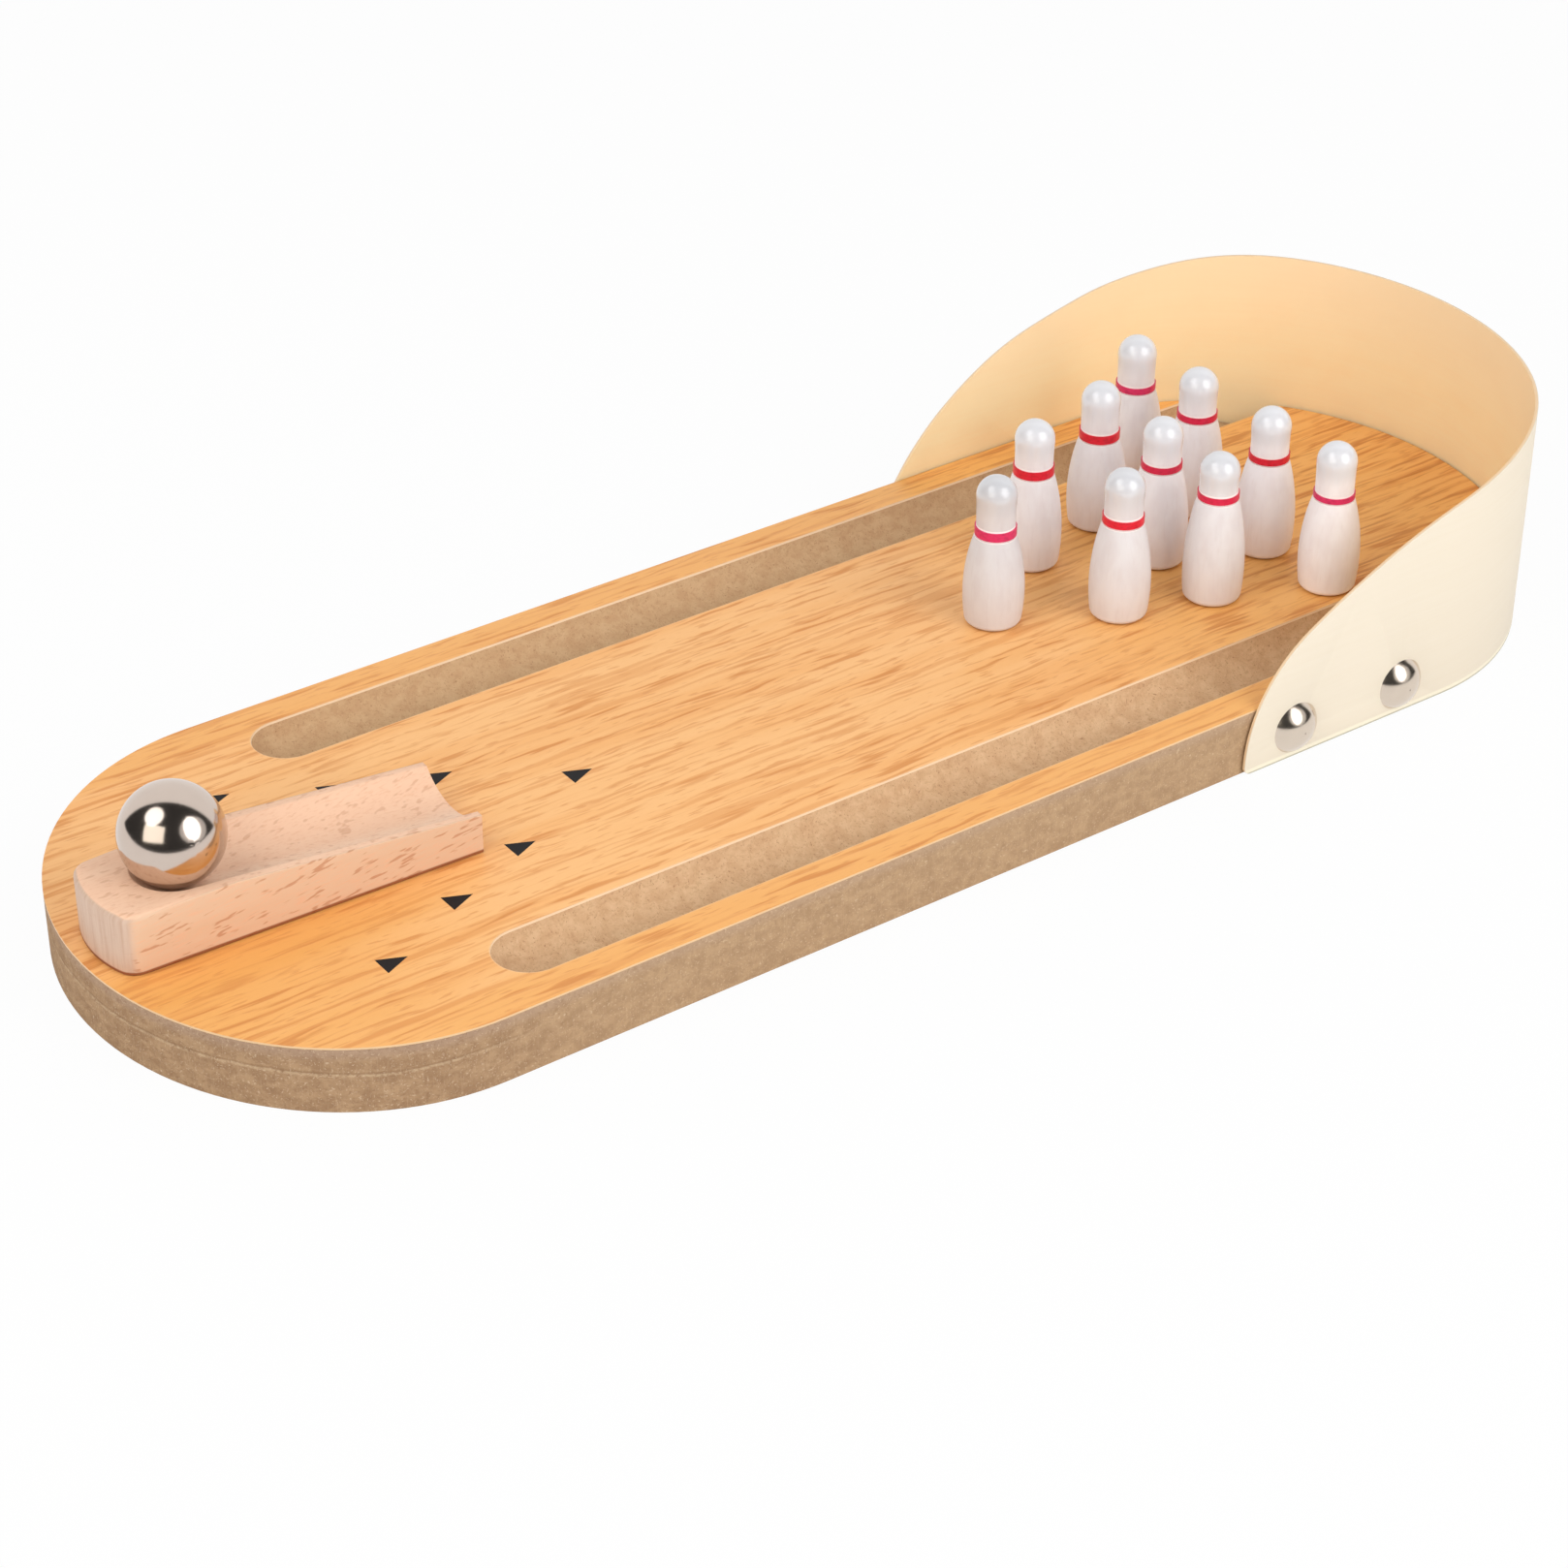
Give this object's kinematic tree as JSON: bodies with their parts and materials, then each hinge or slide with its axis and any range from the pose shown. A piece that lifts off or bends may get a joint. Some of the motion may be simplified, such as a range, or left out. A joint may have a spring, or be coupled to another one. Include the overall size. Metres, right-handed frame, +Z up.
{
  "type": "table bowling game",
  "caption": "Small wooden table bowling lane with side gutters, a bent sheet backstop, a swivelling launch ramp, a steel ball and turned pins with painted bands.",
  "frame": {"origin": "on the table top, under the middle of the whole game's outline", "axes": "+X to the player's right, +Y down the lane from the player to the pins, +Z up"},
  "size_m": [0.1072, 0.285, 0.043],
  "materials": {
    "fibreboard": "sawn, bare medium-density fibreboard",
    "veneer": "satin lacquered honey-coloured veneer",
    "print": "matt black printed ink",
    "bent_sheet": "satin, thin bent wood sheet",
    "nail": "polished",
    "washer": "zinc plated",
    "screw": "zinc plated",
    "beech": "satin, sanded and lacquered",
    "ball": "mirror polished",
    "pin_wood": "satin white-stained wood",
    "pin_paint": "satin red paint"
  },
  "bodies": {
    "base": {"lane_core": "fibreboard", "lane_veneer": "veneer", "aim_arrows": "print", "backstop_guard": "bent_sheet", "guard_nails": "nail", "pivot_washer": "washer"},
    "ramp": {"launch_ramp": "beech", "pivot_screw": "screw"},
    "ball": {"steel_ball": "ball"},
    "pin_1": {"pin_1": "pin_wood", "pin_band_1": "pin_paint"},
    "pin_2": {"pin_2": "pin_wood", "pin_band_2": "pin_paint"},
    "pin_3": {"pin_3": "pin_wood", "pin_band_3": "pin_paint"},
    "pin_4": {"pin_4": "pin_wood", "pin_band_4": "pin_paint"},
    "pin_5": {"pin_5": "pin_wood", "pin_band_5": "pin_paint"},
    "pin_6": {"pin_6": "pin_wood", "pin_band_6": "pin_paint"},
    "pin_7": {"pin_7": "pin_wood", "pin_band_7": "pin_paint"},
    "pin_8": {"pin_8": "pin_wood", "pin_band_8": "pin_paint"},
    "pin_9": {"pin_9": "pin_wood", "pin_band_9": "pin_paint"},
    "pin_10": {"pin_10": "pin_wood", "pin_band_10": "pin_paint"}
  },
  "joints": [
    {"name": "ramp_aim", "type": "hinge", "parent": "base", "child": "ramp", "pos_m": [0, -0.1191, 0.012], "axis": [0, 0, 1], "range_deg": [-15, 15]},
    {"name": "ball_roll", "type": "slide", "parent": "ramp", "child": "ball", "axis": [0.0278, 0.9952, -0.0938], "range_m": [0, 0.081]},
    {"name": "pin_1_lift", "type": "slide", "parent": "base", "child": "pin_1", "axis": [0, 0, 1], "range_m": [0, 0.04]},
    {"name": "pin_2_lift", "type": "slide", "parent": "base", "child": "pin_2", "axis": [0, 0, 1], "range_m": [0, 0.04]},
    {"name": "pin_3_lift", "type": "slide", "parent": "base", "child": "pin_3", "axis": [0, 0, 1], "range_m": [0, 0.04]},
    {"name": "pin_4_lift", "type": "slide", "parent": "base", "child": "pin_4", "axis": [0, 0, 1], "range_m": [0, 0.04]},
    {"name": "pin_5_lift", "type": "slide", "parent": "base", "child": "pin_5", "axis": [0, 0, 1], "range_m": [0, 0.04]},
    {"name": "pin_6_lift", "type": "slide", "parent": "base", "child": "pin_6", "axis": [0, 0, 1], "range_m": [0, 0.04]},
    {"name": "pin_7_lift", "type": "slide", "parent": "base", "child": "pin_7", "axis": [0, 0, 1], "range_m": [0, 0.04]},
    {"name": "pin_8_lift", "type": "slide", "parent": "base", "child": "pin_8", "axis": [0, 0, 1], "range_m": [0, 0.04]},
    {"name": "pin_9_lift", "type": "slide", "parent": "base", "child": "pin_9", "axis": [0, 0, 1], "range_m": [0, 0.04]},
    {"name": "pin_10_lift", "type": "slide", "parent": "base", "child": "pin_10", "axis": [0, 0, 1], "range_m": [0, 0.04]}
  ]
}
